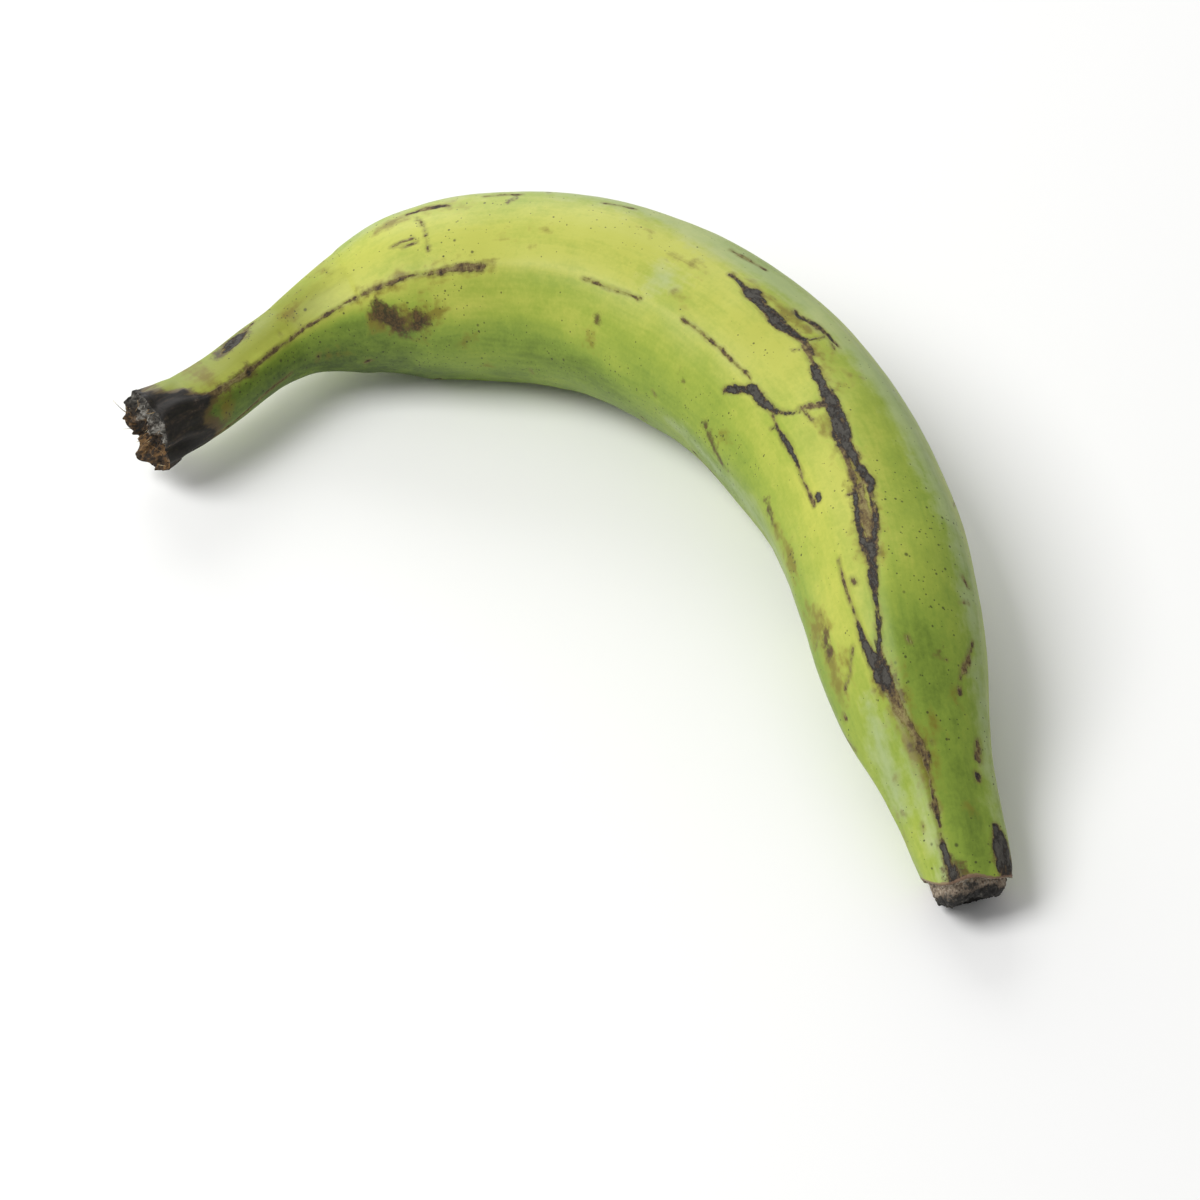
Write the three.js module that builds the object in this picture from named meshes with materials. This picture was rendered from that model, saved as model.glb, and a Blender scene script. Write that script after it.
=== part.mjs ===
// A green plantain, picked from its bunch, lying on its side on a flat surface.
//
// The fruit grew as one piece, so it is one closed skin: a torn stalk, a shoulder, a bent body with
// blunt ridges along it, and a tapering end with the dried scar of its flower. The skin is a loft
// through rings. A ring stands square to the fruit's middle line, and its outline is a circle with
// a raised ridge at each corner. Along is the distance from the torn stalk, in millimetres. Round is
// the angle about the middle line, in degrees: 0 faces the outside of the bend, 90 faces up, 180
// faces the inside of the bend and 270 faces the table.
//
// Frame: +X runs from the stalk to the flower end, +Y to the outside of the bend and +Z up. The
// origin is on the table, below the middle of the fruit's bounding box.

import * as THREE from 'three';
import { LoftGeometry } from 'three/addons/geometries/LoftGeometry.js';
import { mergeVertices } from 'three/addons/utils/BufferGeometryUtils.js';

// Size: the length of the middle line, and where it starts.
const LENGTH = 300;
const START_X = -105.51;
const START_Y = -51.91;

// Bend: [along, heading of the middle line in plan, in degrees from +X].
const HEADING = [
  [0, 73], [30, 86], [45, 69], [60, 55], [90, 33], [120, 7],
  [150, -10], [180, -27.5], [210, -40], [240, -45], [270, -40], [300, -46.5],
];

// Girth: [along, half of the thickness between the ridges].
const HALF = [
  [0, 7.8], [15, 7.5], [30, 7.4], [42, 8.2], [56, 12.8], [72, 17.9], [95, 20.2], [135, 21.0],
  [175, 20.5], [210, 19.0], [236, 17.6], [250, 16.0], [264, 13.0], [277, 10.3], [290, 9.1], [300, 8.0],
];

// Height of the skin's lowest line above the table: the stalk stands clear of it, and the fruit
// rests on three low places, under the shoulder, under the bend and under the flower end, where it
// is pressed flat by its own weight.
const CLEAR = [
  [0, 7], [42, 7.2], [58, 3.2], [76, 0], [125, 1.4], [175, 0], [240, 1.3], [288, 0], [300, 0.2],
];
const PRESSED = 0.4;

// Lean of the rings at the flower end, in degrees, which turns the scar down towards the table.
const LEAN = [[0, 0], [245, 0], [268, 4], [294, 28], [300, 30]];

// Ridges: where each runs, [along, round], and how far it stands out, [along, share of HALF].
const RIDGES = {
  back: {
    round: [[0, 55], [60, 58], [90, 68], [130, 58], [200, 54], [240, 38], [300, 32]],
    height: [[0, 0.10], [60, 0.07], [150, 0.06], [230, 0.075], [300, 0.12]],
  },
  crest: {
    round: [[0, 128], [100, 126], [200, 126], [260, 122], [300, 120]],
    height: [[0, 0.14], [60, 0.11], [110, 0.06], [180, 0.05], [240, 0.055], [275, 0.12], [300, 0.16]],
  },
  belly: {
    round: [[0, 185], [150, 178], [200, 168], [240, 176], [300, 178]],
    height: [
      [0, 0.08], [60, 0.03], [115, 0.015], [150, 0.05], [200, 0.07], [250, 0.09], [278, 0.09], [300, -0.14],
    ],
  },
  under: {
    round: [[0, 240], [300, 236]],
    height: [[0, 0.10], [60, 0.08], [150, 0.075], [250, 0.09], [300, 0.10]],
  },
  heel: {
    round: [[0, 312], [300, 312]],
    height: [[0, 0.10], [60, 0.08], [150, 0.075], [250, 0.09], [300, 0.10]],
  },
};
// A weaker ridge rises between the back and the crest, and runs into the crest near the flower end.
const SIDE_RIDGE = {
  round: [[0, 80], [150, 84], [180, 88], [220, 96], [250, 105], [277, 116], [300, 119]],
  height: [[0, 0], [120, 0], [170, 0.035], [220, 0.055], [262, 0.06], [285, 0.02], [300, 0]],
};
const RIDGE_SPREAD = 20;
const RIDGE_ROUNDING = 3;

// The slight unevenness of the grown skin: swells that rise and sink along it and round it.
const SWELLS = [
  { height: 0.28, length: 145, start: 2.0, lobes: 2, turned: 0.4 },
  { height: 0.20, length: 69, start: 0.7, lobes: 3, turned: -1.1 },
  { height: 0.12, length: 41, start: 0, lobes: 2, turned: -0.8 },
];

// Mesh: how many facets lie between one ridge and the next, and the distance between rings.
const FACETS_BETWEEN = [12, 8, 8, 9, 11];
const RING_STEP = 4;

// Torn stalk: the skin is swollen and ragged over RAGGED_LENGTH. The torn face sinks round a tuft
// of pith, from the middle out to the rim: [share of the rim's reach, how far in].
const RAGGED_LENGTH = 10;
const RAGGED_STEP = 2;
const RAGGED_OUT = 0.9;
const RAGGED_SWELL = 0.6;
const TORN = [[0.12, -0.2], [0.26, 1.1], [0.46, 1.3], [0.66, 1.1], [0.84, 0.6], [0.95, 0]];
// Torn and dried tissue is rough in waves round it, which turn with their depth below the rim.
const TORN_WAVES = [
  { share: 0.40, lobes: 3, start: 2.4, turning: -3 },
  { share: 0.35, lobes: 5, start: 0.6, turning: 2 },
  { share: 0.25, lobes: 9, start: 0, turning: 5 },
];
// How far the torn rim stands out, [round, distance]: two lobes either side of a notch, and the rest.
const RIM = [
  [0, 0.8], [45, 0.2], [95, 1.0], [130, 0.2], [175, 1.2], [215, 0.1], [250, 1.2], [282, 2.8],
  [308, -0.6], [335, 1.2], [360, 0.8],
];

// Flower end: the skin's edge waves over the last stretch of the skin, [round, how far it runs on].
const SKIN_END = 294;
const WAVED_FROM = 268;
const SKIN_EDGE = [
  [0, 3.4], [55, 4.4], [90, 3.4], [122, 4.6], [180, 2.0], [240, 1.8], [310, 2.6], [360, 3.4],
];
// The scar inside that edge: a hard collar, a little off the middle, and a hollow round a nub,
// [share of the skin's reach, how far past the skin's edge]. It slants, furthest out at
// SCAR_SLANT_TO, and it is free of the skin's own form from its fourth ring on.
const SCAR = [
  [0.97, 0.4], [0.88, 0.6], [0.83, 1.2], [0.82, 2.4], [0.77, 3.9], [0.68, 5.2],
  [0.56, 5.8], [0.45, 5.3], [0.36, 4.3], [0.24, 3.9], [0.10, 4.5],
];
const SCAR_OUTWARD = 0.2;
const SCAR_SLANT = 1.3;
const SCAR_SLANT_TO = 200;
const SCAR_ROUGHNESS = 0.35;
const SCAR_FREE_AT = 3;

const degrees = THREE.MathUtils.degToRad;

// A smooth curve through the knots [place, value], read at one place.
function through(knots, place) {
  const last = knots.length - 1;
  let i = 0;
  while (i < last - 1 && place >= knots[i + 1][0]) {
    i += 1;
  }
  const slope = (k) => {
    const before = knots[Math.max(k - 1, 0)];
    const after = knots[Math.min(k + 1, last)];
    return (after[1] - before[1]) / (after[0] - before[0]);
  };
  const width = knots[i + 1][0] - knots[i][0];
  const q = THREE.MathUtils.clamp((place - knots[i][0]) / width, 0, 1);
  return knots[i][1] * (2 * q ** 3 - 3 * q ** 2 + 1)
    + knots[i + 1][1] * (3 * q ** 2 - 2 * q ** 3)
    + width * slope(i) * (q ** 3 - 2 * q ** 2 + q)
    + width * slope(i + 1) * (q ** 3 - q ** 2);
}

// The middle line in plan, walked in steps of 1 mm along its heading.
const plan = [new THREE.Vector2(START_X, START_Y)];
for (let step = 0; step < LENGTH; step += 1) {
  const heading = degrees(through(HEADING, step + 0.5));
  plan.push(new THREE.Vector2(Math.cos(heading), Math.sin(heading)).add(plan[step]));
}

// How high the middle line runs, so that the lowest of the UNDERSIDE lies CLEAR above the table.
const UNDERSIDE = [255, 260, 265, 270, 275];
function middleHeight(along) {
  const depths = UNDERSIDE.map((round) => -skin(along, round) * Math.sin(degrees(round)));
  return Math.max(...depths) + through(CLEAR, along) - PRESSED;
}

// The middle line's point at a distance along, with the directions ahead, outward and upward there.
function station(along) {
  const step = Math.min(Math.floor(along), LENGTH - 1);
  const flat = plan[step].clone().lerp(plan[step + 1], along - step);
  const heading = degrees(through(HEADING, along));
  const rise = (middleHeight(along + 1) - middleHeight(along - 1)) / 2;
  const outward = new THREE.Vector3(-Math.sin(heading), Math.cos(heading), 0);
  const ahead = new THREE.Vector3(Math.cos(heading), Math.sin(heading), rise).normalize();
  ahead.applyAxisAngle(outward, degrees(through(LEAN, along)));
  const upward = new THREE.Vector3().crossVectors(ahead, outward);
  return { point: new THREE.Vector3(flat.x, flat.y, middleHeight(along)), ahead, outward, upward };
}

// The angles of a ring's corners: the same corner follows the same ridge from ring to ring.
function roundOfCorners(along) {
  const at = Object.values(RIDGES).map((ridge) => through(ridge.round, along));
  at.push(at[0] + 360);
  return FACETS_BETWEEN.flatMap((count, i) => Array.from(
    { length: count },
    (_, k) => at[i] + (at[i + 1] - at[i]) * k / count,
  ));
}

// How far a ridge lifts the skin at an angle round: a soft tent that falls away on both sides.
function lift(ridge, along, round) {
  const away = ((round - through(ridge.round, along) + 540) % 360) - 180;
  const soft = Math.hypot(away, RIDGE_ROUNDING) - RIDGE_ROUNDING;
  return through(ridge.height, along) * Math.exp(-soft / RIDGE_SPREAD);
}

// How far the swells lift the skin.
function uneven(along, round) {
  return SWELLS.reduce((sum, swell) => sum
    + swell.height * Math.sin(2 * Math.PI * along / swell.length + swell.start)
    * Math.cos(swell.lobes * degrees(round) + swell.turned), 0);
}

// Torn and dried tissue, from -1 to 1: depth is how far in from the rim, from 0 to 1.
function ragged(round, depth) {
  return TORN_WAVES.reduce((sum, wave) => sum
    + wave.share * Math.sin(wave.lobes * degrees(round) + wave.start + wave.turning * depth), 0);
}

// How far the torn rim stands out behind the first ring, and the skin's other edge beyond the last.
const rim = (round) => through(RIM, round % 360);
const skinEdge = (round) => through(SKIN_EDGE, round % 360);

// The skin's distance from the middle line.
function skin(along, round) {
  const ridges = [...Object.values(RIDGES), SIDE_RIDGE];
  const raised = ridges.reduce((sum, ridge) => sum + lift(ridge, along, round), 1);
  const fade = THREE.MathUtils.smoothstep(along, 0, RAGGED_LENGTH);
  const torn = (1 - fade) * RAGGED_OUT * (RAGGED_SWELL + ragged(round, along / RAGGED_LENGTH));
  return through(HALF, along) * raised + uneven(along, round) * fade + torn;
}

// A ring of points about the middle line at a distance along: reach gives each corner's distance
// from the line, and ahead how far it is pushed on along it. Nothing goes below the table.
function ring(along, reach, ahead) {
  const here = station(along);
  return roundOfCorners(along).map((round) => {
    const turn = degrees(round);
    const point = here.point.clone()
      .addScaledVector(here.outward, Math.cos(turn) * reach(round))
      .addScaledVector(here.upward, Math.sin(turn) * reach(round))
      .addScaledVector(here.ahead, ahead(round));
    point.z = Math.max(point.z, 0);
    return point;
  });
}

// The torn face: rings from the pith out to the rim, which stands out in rough lobes.
function tornFace() {
  return TORN.map(([share, sunk]) => ring(
    0,
    (round) => skin(0, round) * share,
    (round) => sunk - share * (rim(round) + RAGGED_OUT * ragged(round, 1 - share)),
  ));
}

// The skin, from the torn rim, whose lobes fade out along the stalk, to its waved edge.
function skinRings() {
  const rings = [];
  let along = 0;
  while (along <= SKIN_END) {
    const here = along;
    const torn = 1 - THREE.MathUtils.smoothstep(here, 0, RAGGED_LENGTH);
    const waved = THREE.MathUtils.smoothstep(here, WAVED_FROM, SKIN_END);
    rings.push(ring(
      here,
      (round) => skin(here, round),
      (round) => waved * skinEdge(round) - torn * rim(round),
    ));
    along += here < RAGGED_LENGTH ? RAGGED_STEP : RING_STEP;
  }
  return rings;
}

// The dried flower scar, from the end of the skin to the nub in its hollow.
function scar() {
  return SCAR.map(([share, past], i) => {
    const free = THREE.MathUtils.smoothstep(i, 0, SCAR_FREE_AT);
    const slant = (round) => SCAR_SLANT * Math.cos(degrees(round - SCAR_SLANT_TO));
    return ring(
      SKIN_END,
      (round) => skin(SKIN_END, round) * share + SCAR_ROUGHNESS * ragged(round, i / SCAR.length)
        + free * share * SCAR_OUTWARD * Math.cos(degrees(round)),
      (round) => past + skinEdge(round) * share + free * share * slant(round)
        + SCAR_ROUGHNESS * ragged(round, -i),
    );
  });
}

function plantainGeometry() {
  const rings = [...tornFace(), ...skinRings(), ...scar()];
  const loft = new LoftGeometry(rings, { capStart: true, capEnd: true });
  loft.deleteAttribute('normal');
  loft.deleteAttribute('uv');
  const welded = mergeVertices(loft, 1e-4);
  welded.computeVertexNormals();
  return welded;
}

// Unripe peel: waxy, yellow-green, with a low gloss.
const peel = new THREE.MeshStandardMaterial({ color: 0x9db53f, roughness: 0.5, metalness: 0 });

const plantain = new THREE.Mesh(plantainGeometry(), peel);
plantain.name = 'plantain';

const fruit = new THREE.Group();
fruit.add(plantain);

export default fruit;
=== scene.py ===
"""A green plantain, picked from its bunch, lying on its side on a pale floor.

The fruit is one closed skin. Its shape is worked out in millimetres from the same driving
dimensions as the solid that it replaces, as a function of two parameters. Along is the distance
from the torn stalk on the fruit's middle line. Round is the angle about that line, in degrees:
0 faces the outside of the bend, 90 up, 180 the inside of the bend and 270 the floor.
"""
import math

import bpy
import numpy as np
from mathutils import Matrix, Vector


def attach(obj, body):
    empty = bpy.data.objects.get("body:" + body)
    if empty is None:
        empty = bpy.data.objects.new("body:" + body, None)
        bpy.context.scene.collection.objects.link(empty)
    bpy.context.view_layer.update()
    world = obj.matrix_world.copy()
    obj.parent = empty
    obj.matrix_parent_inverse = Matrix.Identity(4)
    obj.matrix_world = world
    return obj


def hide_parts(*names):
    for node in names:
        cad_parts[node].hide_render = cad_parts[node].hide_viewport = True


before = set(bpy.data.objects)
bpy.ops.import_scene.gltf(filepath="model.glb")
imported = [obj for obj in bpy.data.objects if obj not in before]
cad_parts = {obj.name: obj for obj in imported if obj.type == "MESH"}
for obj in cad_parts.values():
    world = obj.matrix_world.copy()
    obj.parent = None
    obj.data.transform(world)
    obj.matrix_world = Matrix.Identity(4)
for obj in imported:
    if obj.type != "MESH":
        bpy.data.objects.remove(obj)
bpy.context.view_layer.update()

MM = 0.001

# Camera: at the photograph's angle, 1 m from the fruit, looking down on it from the front right.
VIEW_AT = Vector((-4.44, -24.11, 0)) * MM
VIEW_AZIMUTH = math.radians(36.35)
VIEW_ELEVATION = math.radians(45)
VIEW_DISTANCE = 1.0
VIEW_LENS = 140.07

camera = bpy.data.objects.new("camera", bpy.data.cameras.new("camera"))
bpy.context.scene.collection.objects.link(camera)
camera_back = Vector((
    math.sin(VIEW_AZIMUTH) * math.cos(VIEW_ELEVATION),
    -math.cos(VIEW_AZIMUTH) * math.cos(VIEW_ELEVATION),
    math.sin(VIEW_ELEVATION),
))
camera.location = VIEW_AT + VIEW_DISTANCE * camera_back
camera.rotation_euler = (-camera_back).to_track_quat("-Z", "Y").to_euler()
camera.data.lens = VIEW_LENS
camera.data.sensor_width = 36
bpy.context.scene.camera = camera


# Floor and light: a pale sweep of paper in a white room, with a large softbox on the left and a
# lower, weaker one behind.
PAPER = "#FAFAF9"
PAPER_ROUGHNESS = 0.9
PAPER_SIZE = 8.0
ROOM_LIGHT = 0.36
# Each softbox: where it stands and how wide it is, in metres, and its power in watts.
SOFTBOXES = {
    "left_softbox": ((-0.62, -0.76, 1.27), 0.9, 19.5),
    "back_softbox": ((-1.10, 0.92, 0.72), 1.0, 11),
}


def linear(hex_colour):
    """An sRGB colour such as "#A0B050" as linear red, green, blue and an alpha of 1."""
    parts = [int(hex_colour[i:i + 2], 16) / 255 for i in (1, 3, 5)]
    return [p / 12.92 if p <= 0.04045 else ((p + 0.055) / 1.055) ** 2.4 for p in parts] + [1.0]


def add(tree, kind, sockets=None, output=0, stops=(), **settings):
    """Adds a node with its settings, a ramp's (place, colour) stops among them, fills or links its
    sockets, and returns one of its outputs."""
    made = tree.nodes.new(kind)
    for name, value in settings.items():
        setattr(made, name, value)
    for i, (place, colour) in enumerate(stops):
        elements = made.color_ramp.elements
        element = elements[i] if i < 2 else elements.new(place)
        element.position = place
        element.color = linear(colour)
    for name, value in (sockets or {}).items():
        shown = [s for s in made.inputs if s.enabled]
        socket = shown[name] if isinstance(name, int) else next(s for s in shown if s.name == name)
        if isinstance(value, bpy.types.NodeSocket):
            tree.links.new(value, socket)
        else:
            socket.default_value = value
    outputs = [s for s in made.outputs if s.enabled]
    if not outputs:
        return made
    return outputs[output] if isinstance(output, int) else made.outputs[output]


def new_material(name):
    """An empty node material, and its node tree."""
    material = bpy.data.materials.new(name)
    material.use_nodes = True
    material.node_tree.nodes.clear()
    return material, material.node_tree


paper, tree = new_material("matt_paper")
shader = add(
    tree, "ShaderNodeBsdfPrincipled", {"Base Color": linear(PAPER), "Roughness": PAPER_ROUGHNESS},
)
add(tree, "ShaderNodeOutputMaterial", {"Surface": shader})

half = PAPER_SIZE / 2
floor_mesh = bpy.data.meshes.new("floor")
floor_corners = [(-half, -half, 0), (half, -half, 0), (half, half, 0), (-half, half, 0)]
floor_mesh.from_pydata(floor_corners, [], [(0, 1, 2, 3)])
floor_mesh.materials.append(paper)
floor = bpy.data.objects.new("floor", floor_mesh)
bpy.context.scene.collection.objects.link(floor)

room = bpy.data.worlds.new("white_room")
room.use_nodes = True
room.node_tree.nodes["Background"].inputs["Color"].default_value = (1, 1, 1, 1)
room.node_tree.nodes["Background"].inputs["Strength"].default_value = ROOM_LIGHT
bpy.context.scene.world = room

for name, (spot, width, power) in SOFTBOXES.items():
    light = bpy.data.lights.new(name, "AREA")
    light.shape = "SQUARE"
    light.size = width
    light.energy = power
    softbox = bpy.data.objects.new(name, light)
    softbox.location = spot
    softbox.rotation_euler = (-Vector(spot)).to_track_quat("-Z", "Y").to_euler()
    bpy.context.scene.collection.objects.link(softbox)

bpy.context.scene.view_settings.view_transform = "Standard"
bpy.context.scene.view_settings.look = "None"


# The fruit's form: one bent, five-ridged body that grew round its middle line. These are the
# driving dimensions of the solid that it replaces: [along, value] knots, in mm and degrees.
LENGTH = 300
START_X = -105.51
START_Y = -51.91
HEADING = [
    (0, 73), (30, 86), (45, 69), (60, 55), (90, 33), (120, 7),
    (150, -10), (180, -27.5), (210, -40), (240, -45), (270, -40), (300, -46.5),
]
HALF = [
    (0, 7.8), (15, 7.5), (30, 7.4), (42, 8.2), (56, 12.8), (72, 17.9), (95, 20.2), (135, 21.0),
    (175, 20.5), (210, 19.0), (236, 17.6), (250, 16.0), (264, 13.0), (277, 10.3), (290, 9.1), (300, 8.0),
]
CLEAR = [
    (0, 7), (42, 7.2), (58, 3.2), (76, 0), (125, 1.4), (175, 0), (240, 1.3), (288, 0), (300, 0.2),
]
PRESSED = 0.4
LEAN = [(0, 0), (245, 0), (268, 4), (294, 28), (300, 30)]
# Ridges: where each runs, and how far it stands out as a share of the half thickness.
RIDGES = {
    "back": (
        [(0, 55), (60, 58), (90, 68), (130, 58), (200, 54), (240, 38), (300, 32)],
        [(0, 0.10), (60, 0.07), (150, 0.06), (230, 0.075), (300, 0.12)],
    ),
    "crest": (
        [(0, 128), (100, 126), (200, 126), (260, 122), (300, 120)],
        [(0, 0.14), (60, 0.11), (110, 0.06), (180, 0.05), (240, 0.055), (275, 0.12), (300, 0.16)],
    ),
    "belly": (
        [(0, 185), (150, 178), (200, 168), (240, 176), (300, 178)],
        [
            (0, 0.08), (60, 0.03), (115, 0.015), (150, 0.05), (200, 0.07), (250, 0.09), (278, 0.09),
            (300, -0.14),
        ],
    ),
    "under": ([(0, 240), (300, 236)], [(0, 0.10), (60, 0.08), (150, 0.075), (250, 0.09), (300, 0.10)]),
    "heel": ([(0, 312), (300, 312)], [(0, 0.10), (60, 0.08), (150, 0.075), (250, 0.09), (300, 0.10)]),
}
SIDE_RIDGE = (
    [(0, 80), (150, 84), (180, 88), (220, 96), (250, 105), (277, 116), (300, 119)],
    [(0, 0), (120, 0), (170, 0.035), (220, 0.055), (262, 0.06), (285, 0.02), (300, 0)],
)
RIDGE_SPREAD = 20
RIDGE_ROUNDING = 3
# Swells of the grown skin: height, length along, start, lobes round, turn.
SWELLS = [(0.28, 145, 2.0, 2, 0.4), (0.20, 69, 0.7, 3, -1.1), (0.12, 41, 0, 2, -0.8)]
# Waves of torn tissue: share, lobes round, start, turn with depth.
TORN_WAVES = [(0.40, 3, 2.4, -3), (0.35, 5, 0.6, 2), (0.25, 9, 0, 5)]
RAGGED_LENGTH = 10
RAGGED_OUT = 0.9
RAGGED_SWELL = 0.6
RIM = [
    (0, 0.8), (45, 0.2), (95, 1.0), (130, 0.2), (175, 1.2), (215, 0.1), (250, 1.2), (282, 2.8),
    (308, -0.6), (335, 1.2), (360, 0.8),
]
SKIN_END = 294
WAVED_FROM = 268
SKIN_EDGE = [
    (0, 3.4), (55, 4.4), (90, 3.4), (122, 4.6), (180, 2.0), (240, 1.8), (310, 2.6), (360, 3.4),
]
UNDERSIDE = [255, 260, 265, 270, 275]


def through(knots, place):
    """A cubic through the knots, whose slope at each is that from its neighbour before to after."""
    at, value = np.array(knots, float).T
    last = len(at) - 1
    before = np.maximum(np.arange(last + 1) - 1, 0)
    after = np.minimum(np.arange(last + 1) + 1, last)
    slope = (value[after] - value[before]) / (at[after] - at[before])
    i = np.clip(np.searchsorted(at, place, side="right") - 1, 0, last - 1)
    width = at[i + 1] - at[i]
    q = np.clip((place - at[i]) / width, 0, 1)
    return (
        value[i] * (2 * q**3 - 3 * q**2 + 1)
        + value[i + 1] * (3 * q**2 - 2 * q**3)
        + width * slope[i] * (q**3 - 2 * q**2 + q)
        + width * slope[i + 1] * (q**3 - q**2)
    )


def smooth(value, low, high):
    """0 below low, 1 above high, and an even S between them."""
    t = np.clip((value - low) / (high - low), 0, 1)
    return t * t * (3 - 2 * t)


def away_from(angle, other):
    """The turn from one angle to another, from -180 to 180 degrees."""
    return (angle - other + 540) % 360 - 180


def ragged(around, depth):
    """Torn tissue, from -1 to 1: sines round the rim that turn with the depth below it."""
    turn = np.radians(around)
    return sum(
        share * np.sin(lobes * turn + start + turning * depth)
        for share, lobes, start, turning in TORN_WAVES
    )


def skin(along, around):
    """The skin's distance from the middle line: half the thickness, raised by a soft tent at each
    ridge, plus the swells, or the torn edge over the first stretch."""
    raised = 1
    for where, height in [*RIDGES.values(), SIDE_RIDGE]:
        soft = np.hypot(away_from(around, through(where, along)), RIDGE_ROUNDING) - RIDGE_ROUNDING
        raised = raised + through(height, along) * np.exp(-soft / RIDGE_SPREAD)
    turn = np.radians(around)
    swell = sum(
        height * np.sin(2 * np.pi * along / length + start) * np.cos(lobes * turn + turned)
        for height, length, start, lobes, turned in SWELLS
    )
    fade = smooth(along, 0, RAGGED_LENGTH)
    torn = RAGGED_OUT * (RAGGED_SWELL + ragged(around, along / RAGGED_LENGTH))
    return through(HALF, along) * raised + swell * fade + torn * (1 - fade)


def middle_height(along):
    """Height of the middle line: the deepest underside plus its clearance, less the pressed part."""
    depths = [
        -skin(along, np.full_like(along, angle)) * math.sin(math.radians(angle)) for angle in UNDERSIDE
    ]
    return np.max(depths, axis=0) + through(CLEAR, along) - PRESSED


def station(along):
    """The middle line's point, and the directions ahead, outward and upward there: the plan line
    is summed along its heading in steps of 1 mm, and the flower end leans down."""
    steps = np.radians(through(HEADING, np.arange(LENGTH) + 0.5))
    whole = np.arange(LENGTH + 1)
    x = np.interp(along, whole, START_X + np.append(0, np.cumsum(np.cos(steps))))
    y = np.interp(along, whole, START_Y + np.append(0, np.cumsum(np.sin(steps))))
    heading = np.radians(through(HEADING, along))
    rise = (middle_height(along + 1) - middle_height(along - 1)) / 2
    outward = np.stack([-np.sin(heading), np.cos(heading), np.zeros_like(heading)], -1)
    ahead = np.stack([np.cos(heading), np.sin(heading), rise], -1)
    ahead /= np.linalg.norm(ahead, axis=-1, keepdims=True)
    lean = np.radians(through(LEAN, along))[..., None]
    ahead = ahead * np.cos(lean) + np.cross(outward, ahead) * np.sin(lean)
    return np.stack([x, y, middle_height(along)], -1), ahead, outward, np.cross(ahead, outward)


def point_on(along, around, reach, onward):
    """The point at a reach from the middle line, pushed onward along it, never below the floor."""
    point, ahead, outward, upward = station(along)
    turn = np.radians(around)[..., None]
    sideways = np.cos(turn) * outward + np.sin(turn) * upward
    spot = point + reach[..., None] * sideways + onward[..., None] * ahead
    spot[..., 2] = np.maximum(spot[..., 2], 0)
    return spot


def push_along(along, around):
    """How far the skin runs on past its ring: to its waved edge, or back to the torn rim."""
    waved = smooth(along, WAVED_FROM, SKIN_END)
    torn = 1 - smooth(along, 0, RAGGED_LENGTH)
    return waved * through(SKIN_EDGE, around % 360) - torn * through(RIM, around % 360)


# The skin's grid: columns follow the ridges, closest together on the upper side, and rings are
# closest at both ends, where the tissue is torn and dried: (from, to, spacing) in mm.
COLUMNS_BETWEEN = [60, 44, 36, 24, 44]
RING_SPACING = [(0, 12, 0.4), (12, 56, 1.0), (56, 284, 0.76), (284, 294, 0.5)]


def waves(points, length, seed, count=28):
    """Even noise of about unit height: plane waves in random directions, of about one length."""
    draw = np.random.default_rng(seed)
    direction = draw.normal(size=(count, 3))
    direction /= np.linalg.norm(direction, axis=1)[:, None]
    pitch = 2 * np.pi / (length * draw.uniform(0.7, 1.5, count))
    phase = draw.uniform(0, 2 * np.pi, count)
    total = np.zeros(points.shape[:-1])
    for k in range(count):
        total += np.sin(points @ direction[k] * pitch[k] + phase[k])
    return total * math.sqrt(2 / count)


def unbent(along, around, reach):
    """The same point on the fruit drawn out straight, so that a pattern can follow its length."""
    turn = np.radians(around)
    return np.stack([along + 0 * reach, reach * np.cos(turn), reach * np.sin(turn)], -1)


def columns_round(along):
    """The angle of each column at a ring: even steps from one ridge to the next."""
    ridges = [through(where, along) for where, _ in RIDGES.values()]
    corners = np.stack([*ridges, ridges[0] + 360], -1)
    share = np.concatenate([i + np.arange(n) / n for i, n in enumerate(COLUMNS_BETWEEN)])
    first = share.astype(int)
    part = share - first
    return corners[:, first] * (1 - part) + corners[:, first + 1] * part


ring_along = np.concatenate([np.arange(*span) for span in RING_SPACING] + [[SKIN_END]])
around = columns_round(ring_along)
along = np.broadcast_to(ring_along[:, None], around.shape)
reach = skin(along, around)
onward = push_along(along, around)
straight = unbent(along + onward, around, reach)


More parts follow.
